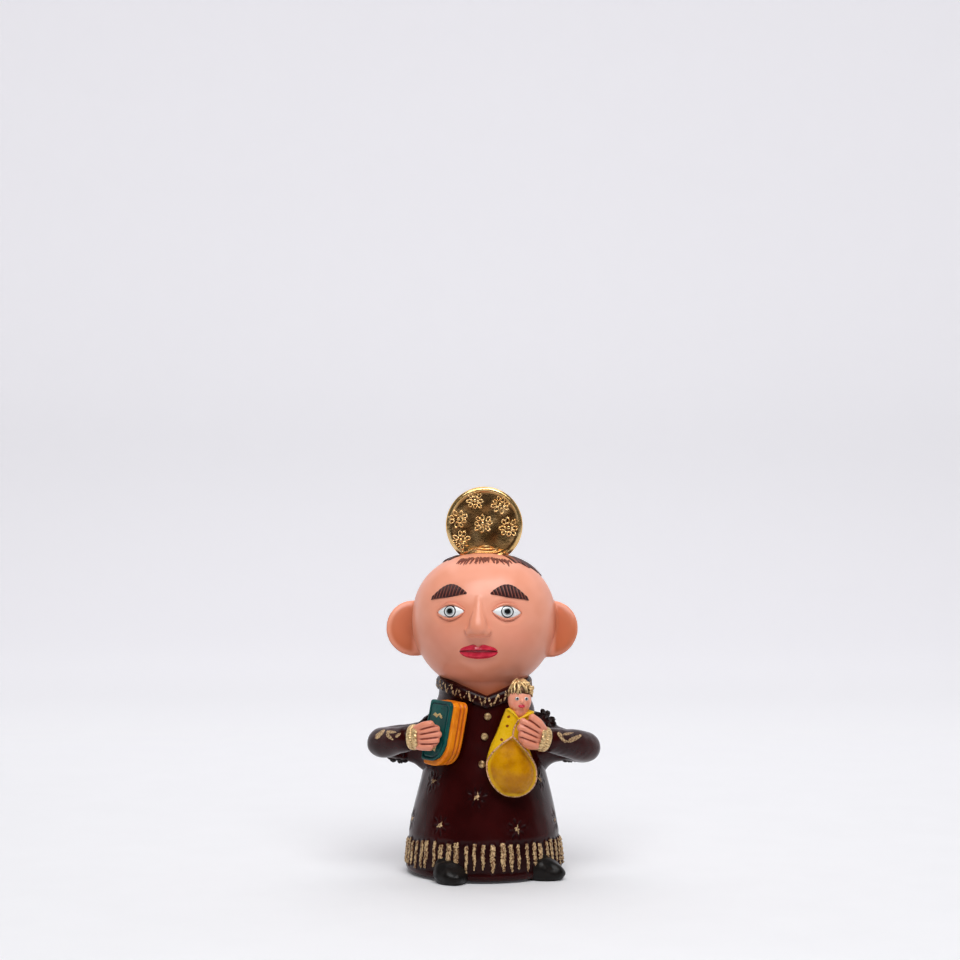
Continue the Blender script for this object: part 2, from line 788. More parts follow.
ROBE_PAINT = make_robe_paint()
SKIN_PAINT = make_skin_paint()
GOLD_LEAF = make_gold_leaf()
BRUSH_GOLD = make_brush_gold()
HAIR_PAINT = make_hair_paint()
LIP_PAINT = make_lip_paint()
EYE_PAINT = make_eye_paint()
COVER_PAINT = make_cover_paint()
PAGE_PAINT = make_page_paint()
SWADDLE_PAINT = make_swaddle_paint()
PIPING_PAINT = make_piping_paint()
SHOE_PAINT = make_shoe_paint()
PAPER = make_paper()


# Robe


def rosette(across, up, seed):
    """The relief, darkness and gold of a pressed rosette, at places round its middle."""
    draw = random.Random(seed)
    turn = draw.uniform(0, 1)
    radius = np.hypot(across, up)
    round_it = np.arctan2(up, across) / math.tau
    spot = round_it * PETALS + turn
    petal = np.floor(spot)
    leaf = np.abs(spot - petal - 0.5) * 2
    size = ROSETTE_REACH * (0.92 + 0.1 * np.sin(petal * 2.4 + seed))
    along = np.clip(radius / size, 0, 1.3)
    wide = 0.5 * np.sin(np.clip(along, 0, 1) * math.pi) ** 0.6 - leaf
    inside = smooth(wide, -0.1, 0.3) * smooth(along, 0.34, 0.5) * smooth(along, 1.0, 0.88)
    rim = smooth(wide, -0.5, -0.15) * smooth(along, 1.22, 1.0) * (1 - inside) * smooth(along, 0.2, 0.4)
    ray = np.abs((round_it * STAR_RAYS + draw.random()) % 1 - 0.5) * 2
    uneven = np.cos(np.floor(round_it * STAR_RAYS + draw.random()) * 1.9 + seed) ** 2
    star = smooth((1.2 + 1.3 * uneven) * (1 - 0.72 * (1 - ray) ** 0.6) - radius, -0.5, 0.5)
    relief = -0.2 * inside + 0.1 * rim + 0.3 * smooth(radius, 1.8, 0.4)
    return relief, inside, star


def robe_relief(azimuth, height):
    """Ribs round the hem and rosettes on the skirt: relief, darkness and gold."""
    draw = np.random.default_rng(3)
    step = 360 / RIB_COUNT
    jitter = draw.uniform(-0.15, 0.15, RIB_COUNT)
    foot = RIB_FOOT + draw.uniform(-1.1, 1.0, RIB_COUNT)
    top = RIB_TOP + draw.uniform(-0.7, 0.8, RIB_COUNT)
    width = draw.uniform(0.62, 1.08, RIB_COUNT)
    phase = azimuth / step % RIB_COUNT
    rib = np.rint(phase).astype(int) % RIB_COUNT
    front = np.cos(np.radians(azimuth))
    low = foot[rib] - 0.9 * smooth(front, 0.5, 0) + 0.4 * smooth(front, 0.4, 1)
    high = top[rib] + RIB_FRONT_RISE * front
    share = np.clip((height - low) / (high - low), 0, 1)
    inside = smooth(height - low, -0.5, 0.9) * smooth(high - height, -0.5, 0.7)
    sway = jitter[rib] + 0.03 * np.sin(height * 0.9 + rib * 1.3) + 0.018 * np.sin(height * 3.7 + rib * 2.1)
    taper = lerp(0.5, 1, smooth(share, 0, 0.45)) * width[rib]
    across = np.abs(phase - np.rint(phase) - sway) / (0.34 * taper)
    lump = np.sqrt(np.clip(1 - across ** 2, 0, 1))
    bead = 0.2 * np.sin(height * 3.1 + rib * 1.7) + 0.16 * np.sin(height * 5.3 + rib * 2.9)
    band = smooth(height, RIB_FOOT - 2.2, RIB_FOOT) * smooth(height, RIB_TOP + 3.4, RIB_TOP + 1.2)
    relief = inside * lump * (0.62 + bead) - 0.3 * band * (1 - inside * smooth(lump, 0, 0.5))
    gold = inside * smooth(lump + bead, 0.05, 0.95)
    hollow = band * (1 - smooth(lump * inside, 0, 0.5)) * 0.55
    for number, (place, level) in enumerate(ROSETTES):
        gap = (azimuth - place + 180) % 360 - 180
        across = np.radians(gap) * robe_radius(height)
        near = np.hypot(across, height - level) < ROSETTE_REACH * 1.4
        dent, dark, star = rosette(across[near], (height - level)[near], number)
        relief[near] += dent
        hollow[near] = np.maximum(hollow[near], 0.6 * dark)
        gold[near] = np.maximum(gold[near], star)
    return relief, hollow, gold


def make_robe():
    rows = [(31.2, 0), (33.0, 1.5)]
    rows += [(float(robe_radius(z)), z) for z in np.linspace(4.4, 76.4, 17)]
    rows += [(18.2, ROBE_HEIGHT)]
    rest()
    bpy.ops.mesh.primitive_circle_add(vertices=72, radius=rows[0][0], fill_type="NGON")
    robe = bpy.context.active_object
    set_mode("EDIT")
    bpy.ops.mesh.select_all(action="SELECT")
    for (last, low), (radius, height) in zip(rows, rows[1:]):
        bpy.ops.mesh.extrude_region_move(TRANSFORM_OT_translate={"value": (0, 0, height - low)})
        bpy.ops.transform.resize(value=(radius / last, radius / last, 1), center_override=(0, 0, height))
    set_mode("OBJECT")
    points = points_of(rounded(tidy(robe), 3))
    azimuth = azimuth_of(points)
    height = points[:, 2]
    reach = np.hypot(points[:, 0], points[:, 1])
    side = smooth(height, 1.6, 4) * smooth(reach, 15.5, 17.5)
    relief, hollow, gold = robe_relief(azimuth, height)
    uneven = 0.22 * ripple(points, 26, 1) + 0.07 * ripple(points, 9, 2)
    at_side = np.abs(np.sin(np.radians(azimuth))) ** 2
    shoulder = SHOULDER_SLOPE * smooth(height, 60, 66) * smooth(height, 73.5, 68) * at_side
    radius = lerp(reach, robe_radius(height) + relief + uneven + shoulder, side)
    points[:, :2] *= (radius / np.maximum(reach, 1e-6))[:, None]
    drop = ROBE_HEIGHT - (collar_foot(azimuth) + COLLAR_WIDTH / 2)
    near_top = smooth(height, ROBE_HEIGHT * 0.8, ROBE_HEIGHT)
    points[:, 2] -= drop * near_top * np.minimum(1, reach / SHOULDER_RADIUS)
    note(set_points(robe, points), gold=gold * side, hollow=hollow * side)
    done(robe, "robe", ROBE_PAINT)


def arm_line(arm):
    side, out, height, wrist_out, wrist_front, wrist_height, _, _ = arm
    return np.array((
        (side * 9, 4, SLEEVE_ROOT_HEIGHT),
        (side * 21, 4.8, lerp(SLEEVE_ROOT_HEIGHT, height, 0.4)),
        (side * (out - ELBOW_RADIUS * 1.3), 4.4, lerp(SLEEVE_ROOT_HEIGHT, height, 0.9)),
        (side * out, -3.6, height),
        (side * (out - ELBOW_RADIUS * 0.7), -13, lerp(height, wrist_height, 0.35)),
        (side * wrist_out, -wrist_front, wrist_height),
    ))


def sleeve_radius(share):
    root = lerp(SLEEVE_ROOT, ELBOW_RADIUS, smooth(share, 0.12, 0.42))
    return lerp(root, WRIST_RADIUS, smooth(share, 0.6, 1))


def spray(points, facing, side):
    """Brushed leaves on the front of a forearm, as a field that is 0.5 at their edges."""
    field = np.full(len(points), -1.0)
    for across, height, turn, length, width in SPRAYS[side]:
        c, s = math.cos(math.radians(turn)), math.sin(math.radians(turn))
        x = points[:, 0] - across
        z = points[:, 2] - height
        u = (x * c + z * s) / (length / 2)
        v = (z * c - x * s) / (width / 2)
        field = np.maximum(field, 1 - np.hypot(u, v * (1 + 0.45 * u)))
    return smooth(field, -0.3, 0.5) * smooth(facing[:, 1], 0.3, -0.1)


def make_sleeve(arm, name, seed):
    line = smooth_line(arm_line(arm), 200)
    share = np.linspace(0, 1, len(line))
    sleeve = rope(line, sleeve_radius(share), sides=96)
    points = points_of(sleeve)
    gaps = np.linalg.norm(points[:, None, :] - line[None, ::4, :], axis=2)
    near = np.exp((gaps.min(axis=1)[:, None] ** 2 - gaps ** 2) / 4)
    along = near @ share[::4] / near.sum(axis=1)
    away = outward(sleeve)
    # The sleeve flares into the robe where they meet.
    gap = np.hypot(points[:, 0], points[:, 1]) - robe_radius(points[:, 2])
    flare = np.clip(SLEEVE_FILLET - gap, 0, SLEEVE_FILLET + 2) ** 2 / (2 * SLEEVE_FILLET)
    points += away * (flare * 0.8 * smooth(along, 0.75, 0.5))[:, None]
    points += away * (0.2 * ripple(points, 15, seed) + 0.06 * ripple(points, 5, seed + 5))[:, None]
    if arm[0] > 0:
        # The figure's left shoulder is fuller than the right one.
        far = np.linalg.norm(points - SHOULDER_PAD, axis=1)
        points += SHOULDER_SWELL * smooth(far, 10.5, 1)[:, None]
    else:
        under = np.linalg.norm((points - SLEEVE_DRAPE) * (0.7, 1, 1), axis=1)
        points[:, 2] -= DRAPE_FALL * smooth(under, 9, 1.5)
    points = points_of(smoothed(set_points(sleeve, points), 20))
    note(sleeve, gold=spray(points, outward(sleeve), arm[0]) * smooth(points[:, 1], 0, -4))
    done(sleeve, name, ROBE_PAINT)


def make_sleeve_rosettes():
    """Raised petals round a dot, each with a groove down its middle."""
    draw = random.Random(31)
    forms = []
    for middle, way, reach in SLEEVE_ROSETTES:
        facing = np.array(Vector(way).normalized().to_track_quat("Z", "Y").to_matrix())
        for number in range(PETALS):
            petal = ball((reach * 0.48, 1.25, 1.1), around=20, rows=14)
            points = points_of(petal)
            points[:, 2] -= 0.45 * np.exp(-(points[:, 1] / 0.3) ** 2) * smooth(points[:, 2], 0, 0.4)
            points[:, 0] += reach * draw.uniform(0.72, 0.84)
            turned = turn_matrix("Z", number * 360 / PETALS + draw.uniform(-7, 7))
            forms.append(set_points(petal, (points @ turned.T) @ facing.T + middle))
        forms.append(ball((1.5, 1.5, 1.5), middle, 20, 14))
    done(note(joined(forms), hollow=0.8), "sleeve_rosettes", ROBE_PAINT)


def make_buttons():
    buttons = []
    for azimuth, height in BUTTONS:
        button = ball((1.55, 1.1, 1.55), around=28, rows=16)
        points = points_of(button)
        reach = np.hypot(points[:, 0], points[:, 2])
        points[:, 1] += 0.3 * smooth(reach, 0.9, 0.2) + 0.06 * ripple(points, 1.6, 4)
        buttons.append(set_points(button, seat_on_robe(points, azimuth, height, 0.1)))
    piece = joined(buttons)
    note(piece, hollow=0.35 + 0.55 * smooth(ripple(points_of(piece), 2.4, 5), -0.2, 0.5))
    done(piece, "buttons", BRUSH_GOLD)


def make_collar():
    def shape(turn, share):
        angle = share * math.tau
        out = 0.5 + 0.5 * fuller(np.cos(angle), 0.45)
        up = fuller(np.sin(angle), 0.55)
        height = collar_foot(turn * 360) + COLLAR_WIDTH * (0.5 + 0.5 * up)
        outer = robe_radius(height) + COLLAR_THICKNESS
        radius = lerp(NECK_RADIUS - 1, outer, out) - 0.5 * np.clip(up, 0, 1) ** 2 * out
        return round_axis(turn * 360, radius, height)

    collar = hoop(48, shape)
    points = points_of(collar)
    azimuth = azimuth_of(points)
    reach = np.hypot(points[:, 0], points[:, 1])
    outer = smooth(reach, NECK_RADIUS + 1.6, NECK_RADIUS + 2.4)
    up = (points[:, 2] - collar_foot(azimuth)) / COLLAR_WIDTH - 0.5
    # Thin leaf strokes lean one way and the other in turn.
    phase = ((azimuth - COLLAR_TURN + 180) % 360 - 180) / 360 * COLLAR_STROKES
    number = np.floor(phase)
    lean = np.where(number % 2 > 0, 0.95, -0.8) * (1 + 0.3 * np.sin(number * 1.9))
    across = np.abs(phase - number - 0.5 - lean * up - 0.1 * np.sin(number * 2.3)) * 2
    reach_up = np.abs(up + 0.06 * np.sin(number * 1.7)) / (0.45 + 0.05 * np.sin(number * 3.1))
    leaf = 1 - np.hypot(across / (0.46 + 0.12 * np.sin(number * 2.9)), reach_up)
    vein = smooth(across, 0.1, 0.02) * smooth(leaf, 0.3, 0.5)
    stroke = smooth(leaf, -0.1, 0.45)
    rim = smooth(np.abs(up), 0.4, 0.47)
    lift = outer * (0.2 * stroke - 0.1 * vein + 0.08 * rim - 0.1)
    points[:, :2] *= (1 + lift / reach)[:, None]
    points += 0.05 * ripple(points, 6, 3)[:, None]
    gold = outer * smooth(leaf, -0.05, 0.4) * (1 - 0.8 * vein)
    note(set_points(collar, points), gold=gold, hollow=outer * (1 - stroke) * (1 - rim) * 0.5)
    done(collar, "collar", ROBE_PAINT)


# Head


def make_ear(side):
    ear = ball((EAR_RADIUS, EAR_THICKNESS / 2, EAR_RADIUS), around=64, rows=40)
    points = points_of(ear)
    reach = np.hypot(points[:, 0], points[:, 2]) / EAR_RADIUS
    front = points[:, 1] < 0
    points[front, 1] += EAR_THICKNESS * 0.26 * (1 - smooth(reach[front], 0.15, 0.92))
    points = points @ turn_matrix("Z", -side * 14).T + (side * EAR_OUT[side], 1.5, -2.4)
    return set_points(ear, points)


def make_nose_form():
    """A plain straight nose: a bridge that widens to a round tip between two soft wings."""

    def shape(turn, share):
        angle = turn * math.tau
        grow = smooth(share, 0, 0.85) ** 1.4
        under = np.sqrt(1 - np.clip((share - 0.78) / 0.22, 0, 1) ** 2)
        half = EYE_WIDTH * 0.8 * lerp(0.17, 0.42, grow) * np.where(share > 0.78, np.maximum(under, 0.02), 1)
        reach = NOSE_REACH * lerp(0.12, 1, grow) * np.maximum(under, 0.02)
        lift = lerp(-3.0, reach, (1 + np.cos(angle)) / 2)
        return on_face(half * np.sin(angle), lerp(BROW_LINE, NOSE_LINE, share), lift)

    wings = (on_face(side * 3.5, NOSE_LINE + 2.0, 0.9) for side in (-1, 1))
    return [pod(32, 40, shape), *(ball((1.9, 2.3, 1.9), centre, 24, 16) for centre in wings)]


def make_head():
    head = ball((1, 1, 1), around=160, rows=110)
    points = unit(points_of(head))
    elevation = np.degrees(np.arcsin(np.clip(points[:, 2], -1, 1)))
    set_points(head, on_head(azimuth_of(points), elevation))
    forms = [head, make_ear(-1), make_ear(1), *make_nose_form()]
    for form in forms:
        set_points(form, from_head(points_of(form)))
    middle = (0, 0, COLLAR_V - 6 + NECK_LENGTH / 2)
    radius = NECK_RADIUS - 0.2
    bpy.ops.mesh.primitive_cylinder_add(vertices=96, radius=radius, depth=NECK_LENGTH, location=middle)
    forms.append(settled())
    skin = fuse(forms, 0.5, 10)
    points = points_of(skin)
    local = to_head(points)
    width = np.abs(local[:, 0])
    height = local[:, 2]
    ahead = smooth(local[:, 1], -4, -12)
    # Soft hollows hold the eyes, and the cheeks and the chin are full.
    eye = np.hypot((width - EYE_WIDTH) / 8.2, (height - EYE_LINE + 0.3) / 5.4)
    cheek = np.hypot((width - 14) / 9, (height + 10) / 8)
    chin = np.hypot(width / 8.5, (height + 21.2) / 5.2)
    full = 0.55 * smooth(cheek, 1, 0) - 0.9 * smooth(eye, 1.1, 0.35) + 1.25 * smooth(chin, 1.1, 0.1)
    move = 0.10 * ripple(points, 24, 8) + 0.035 * ripple(points, 8, 9) + ahead * full
    set_points(skin, points + outward(skin) * move[:, None])
    in_ear = smooth(np.hypot(width - 29.2, height + 2.4), EAR_RADIUS - 0.6, EAR_RADIUS - 2.6)
    inner = smooth(local[:, 1], 3.5, 0.5) * smooth(width, 29.2, 31.2) * in_ear
    warm = inner * 0.75 + smooth(points[:, 2], 85, 76) * 0.8 + 0.28 * smooth(height, 14, -20)
    blush = smooth(np.hypot((width - 15.5) / 8, (height + 9) / 6.5), 1.3, 0.1) * ahead
    note(skin, warm=np.clip(warm, 0, 1), blush=blush * 0.16)
    done(skin, "head", SKIN_PAINT)


def make_eyes():
    def shape(turn, share):
        radius = np.sin(share * math.pi)
        angle = turn * math.tau
        across = np.cos(angle) * radius * EYE_WIDTH / 2
        up = np.sin(angle) * radius * EYE_HEIGHT / 2 * (1 - 0.35 * np.abs(np.cos(angle)) ** 3)
        dome = 0.62 - 1.9 * (1 - np.sqrt(np.clip(1 - radius ** 2 * 0.9, 0, 1)))
        return stack(across, np.where(share > 0.5, -dome, 3.0), up)

    eyes = []
    lids = []
    share = np.linspace(0, 1, 41)
    bend = np.sin(math.pi * share)
    for side in (-1, 1):
        x = side * EYE_WIDTH
        eye = pod(72, 60, shape)
        local = points_of(eye)
        set_points(eye, from_head(on_face(x + local[:, 0], EYE_LINE + local[:, 2], -local[:, 1])))
        eyes.append(note(eye, local=local))
        for edge, thick in LIDS:
            across = x + lerp(-0.535, 0.535, share) * EYE_WIDTH
            height = EYE_LINE + edge * EYE_HEIGHT * bend ** 0.9
            line = from_head(on_face(across, height, 0.12 - 0.55 * (1 - bend)))
            lids.append(rope(line, thick * (0.45 + 0.55 * bend), sides=14))
    done(joined(eyes), "eyes", EYE_PAINT)
    done(note(joined(lids), warm=0.35), "eyelids", SKIN_PAINT)


def make_brow(side, name):
    def middle_of(share):
        return BROW_LINE + FACE_THIRD * (0.2 * np.sin(math.pi * lerp(0.18, 1, share)) - 0.04)

    def half_of(share):
        return FACE_THIRD * 0.16 * np.sin(math.pi * lerp(0.14, 0.93, share))

    def groove_of(share, up):
        """Slanted strokes cross the brow, with grooves between them."""
        return 0.5 + 0.5 * np.cos((share * BROW_HATCHES + 0.55 * up) * math.tau)

    def shape(turn, share):
        ahead = np.cos(turn * math.tau)
        up = np.sin(turn * math.tau)
        half = half_of(share) * np.sqrt(np.sin(math.pi * np.clip(share, 0.004, 0.996))) + 0.05
        crown = 0.1 + np.sqrt(np.clip(ahead, 0, 1)) * (1.0 - 0.42 * groove_of(share, up) ** 3)
        lift = np.where(ahead > 0, crown, -1.4) * np.clip(np.sin(math.pi * share) * 4, 0, 1)
        return on_face(side * EYE_WIDTH * lerp(0.4, 1.74, share), middle_of(share) + up * half, lift)

    brow = pod(40, 170, shape)
    local = points_of(brow)
    share = (np.abs(local[:, 0]) / EYE_WIDTH - 0.4) / 1.34
    within = np.clip(share, 0, 1)
    up = (local[:, 2] - middle_of(within)) / (half_of(within) + 0.05)
    note(brow, line=smooth(groove_of(share, up), 0.8, 0.99) * smooth(np.abs(up), 0.95, 0.7) * 0.8)
    done(set_points(brow, from_head(local)), name, HAIR_PAINT)


def make_lips():
    def shape(turn, share):
        across = -np.cos(share * math.pi)
        full = np.sqrt(np.clip(1 - across ** 2, 0, 1))
        spot = turn * len(LIP_SECTION)
        first = np.floor(spot).astype(int) % len(LIP_SECTION)
        blend = smooth(spot - np.floor(spot), 0, 1)[:, None]
        following = LIP_SECTION[(first + 1) % len(LIP_SECTION)]
        rise, lift = lerp(LIP_SECTION[first], following, blend).T
        bow = np.exp(-(across / 0.16) ** 2) * 0.75 * smooth(rise, 0.8, 2.2)
        peak = np.exp(-((np.abs(across) - 0.26) / 0.16) ** 2) * 0.3 * smooth(rise, 0.8, 2.2)
        height = rise * full ** 0.85 - bow + peak - 0.35 * (1 - full) * np.sign(rise)
        return on_face(across * MOUTH_WIDTH / 2, MOUTH_LINE + height, lerp(-0.5, lift, full))

    lips = pod(64, 80, shape)
    local = points_of(lips)
    note(lips, line=smooth(np.abs(local[:, 2] - MOUTH_LINE), 0.55, 0.05))
    done(set_points(lips, from_head(local)), "lips", LIP_PAINT)


def hairline(azimuth):
    side = np.where(azimuth > 0, HAIRLINE_SIDES[1], HAIRLINE_SIDES[-1])
    azimuth = np.abs(azimuth)
    front = lerp(HAIRLINE_FRONT, side, smooth(azimuth, 18, 85))
    return lerp(front, HAIRLINE_NAPE, smooth(azimuth, 92, 172))


def make_hair_ring():
    """A raised ring of combed hair round the bald crown, which thins out over the forehead."""

    def shape(turn, share):
        azimuth = (turn * 360 + 180) % 360 - 180
        rise = np.sin(share * math.tau)
        across = 0.5 + 0.5 * fuller(np.cos(share * math.tau), 0.7)
        locks = np.abs(np.sin(np.radians(azimuth * 15 + 40 * across)))
        comb = 0.5 + 0.5 * np.cos(np.radians(azimuth * HAIR_LINES + 150 * across))
        proud = np.sqrt(np.clip(rise, 0, 1)) * (0.3 + 0.4 * locks ** 0.5 - 0.2 * comb)
        # Over the forehead the ring sinks into the head.
        presence = smooth(np.abs(azimuth + 2), 34, 48)
        lift = lerp(-1.6, np.where(rise > 0, proud, -1.6), presence)
        edge = hairline(azimuth) + 1.6 * np.sin(np.radians(azimuth * 23)) * (1 - across)
        return on_head(azimuth, lerp(edge, CROWN_EDGE, across), lift)

    ring = hoop(40, shape)
    local = points_of(ring)
    azimuth = azimuth_of(local)
    combed = smooth(np.cos(np.radians(azimuth * HAIR_LINES)), 0.7, 1)
    combed *= smooth(ripple(local, 5, 77), -0.4, 0.3)
    parted = smooth(np.cos(np.radians(azimuth * HAIR_LINES / 2)), 0, 0.8)
    thin = smooth(azimuth, 70, 40) * smooth(azimuth, 20, 30) * parted
    note(ring, line=0.85 * np.maximum(combed, thin))
    done(set_points(ring, from_head(local)), "hair_ring", HAIR_PAINT)


def make_hair_fringe():
    """Short thin strokes that hang over the forehead."""
    draw = random.Random(21)
    strokes = []
    share = np.linspace(0, 1, 15)
    for number in range(FRINGE_STROKES):
        azimuth = lerp(-27, 36, number / (FRINGE_STROKES - 1)) + draw.uniform(-1, 1)
        root = 57 - 0.0042 * azimuth ** 2 + draw.uniform(-1.2, 1.2)
        length = draw.uniform(5.5, 10.0)
        sweep = draw.uniform(-4, 3) + azimuth * 0.03
        line = from_head(on_head(azimuth + sweep * share, root - length * share, 0.12))
        strokes.append(rope(line, lerp(0.46, 0.14, share ** 1.5), sides=8))
    done(note(joined(strokes), line=0.5), "hair_fringe", HAIR_PAINT)


# Halo


def make_halo_disc():
    half = HALO_THICKNESS / 2
    bend = np.linspace(0, math.pi / 2, 9)
    # The disc's section, from the middle of the front round the rim to the middle of the back.
    flat = HALO_RADIUS - HALO_EDGE
    radial = np.concatenate((np.linspace(0, flat, 40), flat + HALO_EDGE * np.sin(bend)))
    level = np.concatenate((np.full(40, -half), -half + HALO_EDGE * (1 - np.cos(bend))))
    radial = np.concatenate((radial, radial[::-1]))
    level = np.concatenate((level, -level[::-1]))
    spots = np.linspace(0, 1, len(radial))

    def shape(turn, share):
        reach = np.interp(share, spots, radial)
        depth = np.interp(share, spots, level)
        x = np.cos(turn * math.tau) * reach
        z = np.sin(turn * math.tau) * reach
        # The hammered front is slightly hollow inside its rim.
        depth = depth + np.where(depth < 0, 0.45 * smooth(reach, 14.8, 13.8), 0)
        depth = depth + 0.12 * ripple(stack(x, depth, z), 7, 6) * smooth(reach, 15, 13.5)
        return stack(x, depth, z) + HALO_CENTRE

    disc = pod(160, 150, shape)
    points = points_of(disc) - HALO_CENTRE
    patina = np.clip(0.72 + 0.2 * ripple(points, 8, 61), 0, 1)
    inside = smooth(np.hypot(points[:, 0], points[:, 2]), 14.9, 14.2)
    note(disc, hollow=np.where(points[:, 1] < -1, patina * inside, 0))
    done(disc, "halo_disc", GOLD_LEAF)


def make_halo_rosettes():
    """Rosettes of raised loops: one is modelled, and its copies are turned and laid on the disc."""
    draw = random.Random(5)
    face = 0.35 - HALO_THICKNESS / 2
    bpy.ops.mesh.primitive_torus_add(
        major_segments=24, minor_segments=10, major_radius=0.84, minor_radius=0.34
    )
    loop = bpy.context.active_object
    base = points_of(loop)
    loops = []
    for number in range(PETALS):
        turn = number * math.tau / PETALS + draw.uniform(-0.13, 0.13)
        stretch = draw.uniform(1.0, 1.5)
        along = base[:, 0] * stretch + draw.uniform(2.4, 3.0)
        side = base[:, 1] * 0.85
        lump = 1 + 0.34 * np.sin(along * 5 + number * 2.4) + 0.26 * np.sin(side * 7 + number)
        x = along * math.cos(turn) - side * math.sin(turn)
        z = along * math.sin(turn) + side * math.cos(turn)
        loops.append(set_points(copy_of(loop), stack(x, -base[:, 2] * 1.2 * lump, z)))
    bpy.data.objects.remove(loop)
    loops.append(ball((0.8, 0.45, 0.8), (0, 0, 0), 16, 10))
    model = joined(loops)
    base = points_of(model)
    twins = []
    for across, up in HALO_ROSETTES:
        size = draw.uniform(0.95, 1.06)
        points = base * (size, 1, size) @ turn_matrix("Y", draw.uniform(0, 360)).T
        twins.append(set_points(copy_of(model), points + HALO_CENTRE + (across, face, up)))
    bpy.data.objects.remove(model)
    piece = joined(twins)
    deep = points_of(piece)[:, 1] - HALO_CENTRE[1] - face
    done(note(piece, hollow=0.7 * smooth(deep, -0.26, 0.0)), "halo_rosettes", GOLD_LEAF)


def make_halo_foot():
    """The wrinkled lump that holds the halo, and the flat lip in front of it."""
    centre = HALO_CENTRE + (0.4, -0.9, -HALO_RADIUS + 4.0)
    lump = ball((9.6, 3.9, 3.7), centre, 120, 80)
    points = points_of(lump)
    fold = points[:, 2] * 1.5 - 0.22 * (points[:, 0] - centre[0]) + 0.8 * np.sin(points[:, 0] * 0.42)
    crease = np.abs(np.sin(fold * 1.35))
    move = 0.8 * (1 - crease) ** 2 - 0.3 * crease + 0.22 * ripple(points, 6, 12)
    set_points(lump, points + unit(points - centre) * move[:, None])
    done(note(lump, hollow=0.75 * smooth(crease, 0.35, 0.9)), "halo_foot", GOLD_LEAF)
    share = np.linspace(0, 1, 81)
    bow = np.sin(math.pi * share)
    x = HALO_CENTRE[0] + lerp(-9.0, 9.6, share)
    y = HALO_CENTRE[1] - 4.7 - 0.7 * bow
    z = HALO_CENTRE[2] - HALO_RADIUS + 3.1 - 0.3 * bow + 0.15 * np.sin(share * 19)
    done(rope(stack(x, y, z), 0.62 + 0.3 * bow, sides=16, flat=1.2), "halo_lip", BRUSH_GOLD)


# Cuffs and hands


def wrist_frame(arm):
    """The turn of a form made along -X for the left hand, and the wrist's place."""
    side = arm[0]
    way = Vector((-side, -arm[6], arm[7])).normalized()
    turn = Vector((-side, 0, 0)).rotation_difference(way).to_matrix()
    mirror = np.diag((1.0, 1, 1)) if side > 0 else np.diag((-1.0, 1, 1))
    return np.array(turn) @ mirror, arm_line(arm)[5]


def worn(piece, arm):
    """Lays a piece made along -X for the left hand on an arm's wrist."""
    turn, place = wrist_frame(arm)
    set_points(piece, points_of(piece) @ turn.T + place)
    return piece if arm[0] > 0 else tidy(piece)


def make_cuff(arm, name):
    rings = []
    for number, (along, radius, length, frills) in enumerate(CUFF_BANDS):

        def shape(turn, share):
            azimuth = turn * math.tau
            angle = share * math.tau
            frill = np.sin(azimuth * frills + number * 1.5)
            x = along - np.sin(angle) * length / 2
            out = radius + 0.5 * np.cos(angle) + 0.16 * frill * smooth(x, along + 0.6, along - 1.1)
            return stack(x, np.cos(azimuth) * out, np.sin(azimuth) * out)

        ring = hoop(20, shape)
        points = points_of(ring)
        azimuth = np.arctan2(points[:, 2], points[:, 1])
        between = smooth(0.5 - 0.5 * np.sin(azimuth * frills + number * 1.5), 0.8, 1)
        low = smooth(np.hypot(points[:, 1], points[:, 2]), radius + 0.4, radius + 0.1)
        ahead = smooth(points[:, 0], along + 0.9, along - 0.3)
        rings.append(note(ring, hollow=np.clip(0.5 * between * ahead + 0.4 * low - 0.1 * number, 0, 1)))
    done(worn(joined(rings), arm), name, BRUSH_GOLD)


def make_hand(arm, name):
    forms = [ball((6.4, 3.1, 5.8), (-4.6, -0.3, 0.3), 40, 28), ball((3.2, 3.2, 4.3), (0.4, 0, 0), 32, 20)]
    lines = []
    share = np.linspace(0, 1, 25)
    for row, (reach, rise) in enumerate(FINGER_TIPS[arm[0]]):
        along = share * reach / HAND_LENGTH
        y = -1.1 - 1.4 * np.sin(along * math.pi) + 2.2 * along ** 3
        z = lerp((2 - row) * 1.5, rise, share ** 0.8)
        lines.append(stack(-share * (reach - 0.4), y, z))
        forms.append(rope(lines[-1], 1.62 + 0.2 * np.sin(share * math.pi), sides=20, up=(0, 1, 0)))
    hand = fuse(forms, 0.26, 7)
    points = points_of(hand)
    along = np.clip(-points[:, 0] / HAND_LENGTH, 0, 1)
    between = np.zeros(len(points))
    # A dark groove runs between each finger and the next.
    for first, second in zip(lines, lines[1:]):
        groove = (first + second) / 2
        z = np.interp(-points[:, 0], -groove[:, 0], groove[:, 2])
        between = np.maximum(between, smooth(np.abs(points[:, 2] - z), 0.5, 0.06))
    line = between * smooth(points[:, 1], 0.4, -0.8) * smooth(along, 0.22, 0.36) * smooth(along, 0.98, 0.8)
    points += outward(hand) * (0.08 * ripple(points, 5, 14) - 0.5 * line)[:, None]
    note(set_points(hand, points), line=0.9 * line ** 1.3, warm=0.3 + 0.3 * line, blush=0.12)
    done(worn(hand, arm), name, SKIN_PAINT)


# Book


